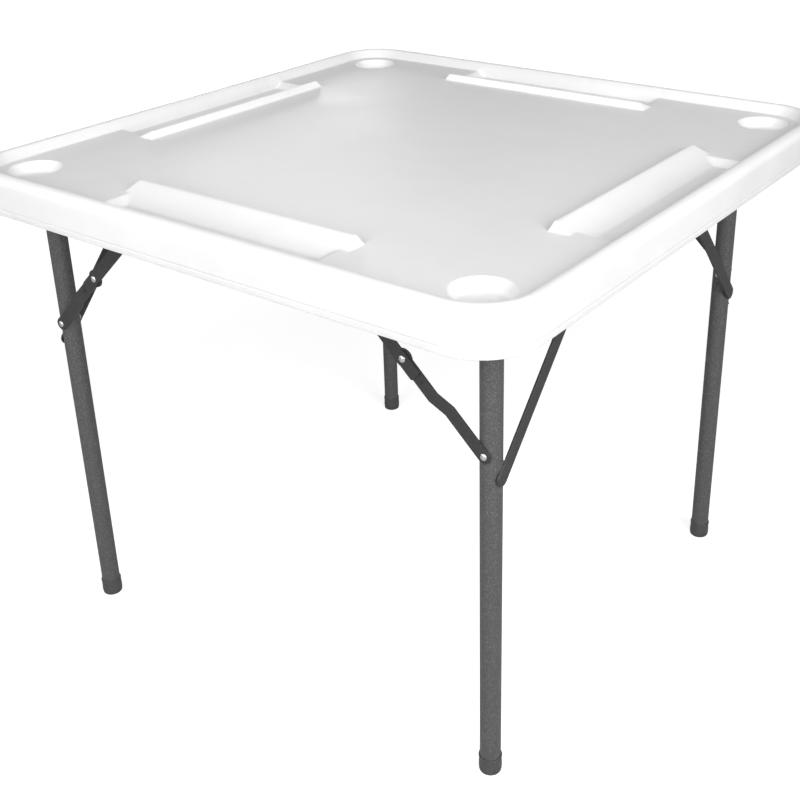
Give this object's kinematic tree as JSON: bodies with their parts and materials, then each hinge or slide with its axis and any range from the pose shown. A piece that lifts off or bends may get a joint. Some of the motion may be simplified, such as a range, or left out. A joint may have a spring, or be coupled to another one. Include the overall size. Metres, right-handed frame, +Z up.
{
  "type": "folding card table",
  "caption": "Square folding card table: moulded white top with raised rim, corner cup wells and side tile racks, on steel tube legs that fold flat.",
  "frame": {"origin": "on the floor, under the centre of the square top", "axes": "+Z up; +X from the outer leg frame towards the inner one, along the sides that carry the folding braces; +Y along the crossbars"},
  "size_m": [0.914, 0.914, 0.737],
  "materials": {
    "moulded_top": "white moulded polyethylene, fine satin grain",
    "powder_coated_steel": "charcoal hammertone powder coat on steel",
    "zinc_rivet": "bright zinc-plated steel",
    "dark_plastic": "dark grey moulded plastic"
  },
  "bodies": {
    "tabletop_body": {"tabletop": "moulded_top", "mounting_screws": "zinc_rivet", "hanger_rivets": "zinc_rivet", "pivot_bracket_near": "powder_coated_steel", "brace_hanger_near": "powder_coated_steel", "pivot_bracket_right": "powder_coated_steel", "brace_hanger_right": "powder_coated_steel", "pivot_bracket_left": "powder_coated_steel", "brace_hanger_left": "powder_coated_steel", "pivot_bracket_far": "powder_coated_steel", "brace_hanger_far": "powder_coated_steel"},
    "inner_frame": {"crossbar_inner": "powder_coated_steel", "crossbar_plugs_inner": "dark_plastic", "leg_rivets_inner": "zinc_rivet", "leg_near": "powder_coated_steel", "foot_cap_near": "dark_plastic", "strut_near": "powder_coated_steel", "leg_right": "powder_coated_steel", "foot_cap_right": "dark_plastic", "strut_right": "powder_coated_steel"},
    "outer_frame": {"crossbar_outer": "powder_coated_steel", "crossbar_plugs_outer": "dark_plastic", "leg_rivets_outer": "zinc_rivet", "leg_left": "powder_coated_steel", "foot_cap_left": "dark_plastic", "strut_left": "powder_coated_steel", "leg_far": "powder_coated_steel", "foot_cap_far": "dark_plastic", "strut_far": "powder_coated_steel"},
    "link_near": {"brace_link_near": "powder_coated_steel", "knee_rivet_near": "zinc_rivet"},
    "arm_near": {"brace_arm_near": "powder_coated_steel", "arm_rivet_near": "zinc_rivet"},
    "link_right": {"brace_link_right": "powder_coated_steel", "knee_rivet_right": "zinc_rivet"},
    "arm_right": {"brace_arm_right": "powder_coated_steel", "arm_rivet_right": "zinc_rivet"},
    "link_left": {"brace_link_left": "powder_coated_steel", "knee_rivet_left": "zinc_rivet"},
    "arm_left": {"brace_arm_left": "powder_coated_steel", "arm_rivet_left": "zinc_rivet"},
    "link_far": {"brace_link_far": "powder_coated_steel", "knee_rivet_far": "zinc_rivet"},
    "arm_far": {"brace_arm_far": "powder_coated_steel", "arm_rivet_far": "zinc_rivet"}
  },
  "joints": [
    {"name": "inner_frame_fold", "type": "hinge", "parent": "tabletop_body", "child": "inner_frame", "pos_m": [0.355, 0, 0.6865], "axis": [0, 1, 0], "range_deg": [0, 90]},
    {"name": "outer_frame_fold", "type": "hinge", "parent": "tabletop_body", "child": "outer_frame", "pos_m": [-0.36, 0, 0.684], "axis": [0, -1, 0], "range_deg": [0, 90]},
    {"name": "link_near_swing", "type": "hinge", "parent": "tabletop_body", "child": "link_near", "pos_m": [0.149, -0.3502, 0.686], "axis": [0, 1, 0], "range_deg": [0, 134.42]},
    {"name": "knee_near_fold", "type": "hinge", "parent": "link_near", "child": "arm_near", "pos_m": [0.24762, -0.3502, 0.59336], "axis": [0, 1, 0], "range_deg": [-180, 0]},
    {"name": "link_right_swing", "type": "hinge", "parent": "tabletop_body", "child": "link_right", "pos_m": [0.149, 0.3502, 0.686], "axis": [0, 1, 0], "range_deg": [0, 134.42]},
    {"name": "knee_right_fold", "type": "hinge", "parent": "link_right", "child": "arm_right", "pos_m": [0.24762, 0.3502, 0.59336], "axis": [0, 1, 0], "range_deg": [-180, 0]},
    {"name": "link_left_swing", "type": "hinge", "parent": "tabletop_body", "child": "link_left", "pos_m": [-0.154, -0.3962, 0.6835], "axis": [0, -1, 0], "range_deg": [0, 134.42]},
    {"name": "knee_left_fold", "type": "hinge", "parent": "link_left", "child": "arm_left", "pos_m": [-0.25262, -0.3962, 0.59086], "axis": [0, -1, 0], "range_deg": [-180, 0]},
    {"name": "link_far_swing", "type": "hinge", "parent": "tabletop_body", "child": "link_far", "pos_m": [-0.154, 0.3962, 0.6835], "axis": [0, -1, 0], "range_deg": [0, 134.42]},
    {"name": "knee_far_fold", "type": "hinge", "parent": "link_far", "child": "arm_far", "pos_m": [-0.25262, 0.3962, 0.59086], "axis": [0, -1, 0], "range_deg": [-180, 0]}
  ],
  "couplings": [
    {"joint": "link_near_swing", "follows": "inner_frame_fold", "ratio": 1.4934},
    {"joint": "knee_near_fold", "follows": "inner_frame_fold", "ratio": -2},
    {"joint": "link_right_swing", "follows": "inner_frame_fold", "ratio": 1.4934},
    {"joint": "knee_right_fold", "follows": "inner_frame_fold", "ratio": -2},
    {"joint": "link_left_swing", "follows": "outer_frame_fold", "ratio": 1.4934},
    {"joint": "knee_left_fold", "follows": "outer_frame_fold", "ratio": -2},
    {"joint": "link_far_swing", "follows": "outer_frame_fold", "ratio": 1.4934},
    {"joint": "knee_far_fold", "follows": "outer_frame_fold", "ratio": -2}
  ]
}
